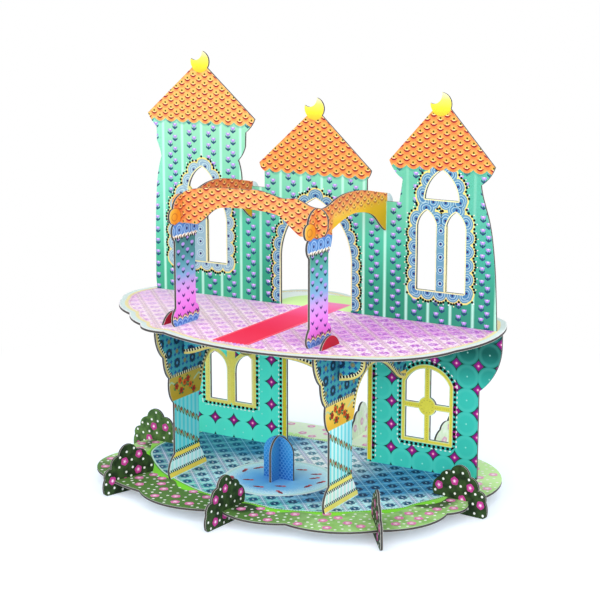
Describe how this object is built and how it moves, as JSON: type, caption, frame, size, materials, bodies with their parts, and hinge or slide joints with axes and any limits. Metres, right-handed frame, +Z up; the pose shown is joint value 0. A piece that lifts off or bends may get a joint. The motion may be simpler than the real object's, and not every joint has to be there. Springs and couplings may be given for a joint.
{
  "type": "slotted cardboard play castle",
  "caption": "Two-storey play castle of flat printed greyboard pieces slotted together, with towers, columns and arches, a garden plate and bush-shaped feet.",
  "frame": {"origin": "on the table, under the middle of the castle's bounding box", "axes": "+X along the walls to the right as the front is seen, +Y from the front columns back to the walls, +Z up"},
  "size_m": [0.4254, 0.3624, 0.428],
  "materials": {
    "garden_print": "matt printed paper on greyboard",
    "lower_wall_print": "matt printed paper on greyboard",
    "lower_column_print": "matt printed paper on greyboard",
    "lower_arch_print": "matt printed paper on greyboard",
    "floor_print": "matt printed paper on greyboard",
    "upper_wall_print": "matt printed paper on greyboard",
    "upper_column_print": "matt printed paper on greyboard",
    "upper_arch_print": "matt printed paper on greyboard",
    "fountain_print": "matt printed paper on greyboard",
    "bush_print": "matt printed paper on greyboard"
  },
  "bodies": {
    "root": {"base_plate": "garden_print", "lower_wall": "lower_wall_print", "lower_side_panel_left": "lower_column_print", "lower_side_panel_right": "lower_column_print", "lower_front_arch": "lower_arch_print", "floor_plate": "floor_print", "upper_wall": "upper_wall_print", "upper_side_panel_left": "upper_column_print", "upper_side_panel_right": "upper_column_print", "upper_front_arch": "upper_arch_print", "fountain_along": "fountain_print", "fountain_across": "fountain_print", "bush_right": "bush_print", "bush_front_right": "bush_print", "bush_front": "bush_print", "bush_front_left": "bush_print", "bush_left": "bush_print", "bush_back_left": "bush_print", "bush_back": "bush_print", "bush_back_right": "bush_print"}
  },
  "joints": []
}
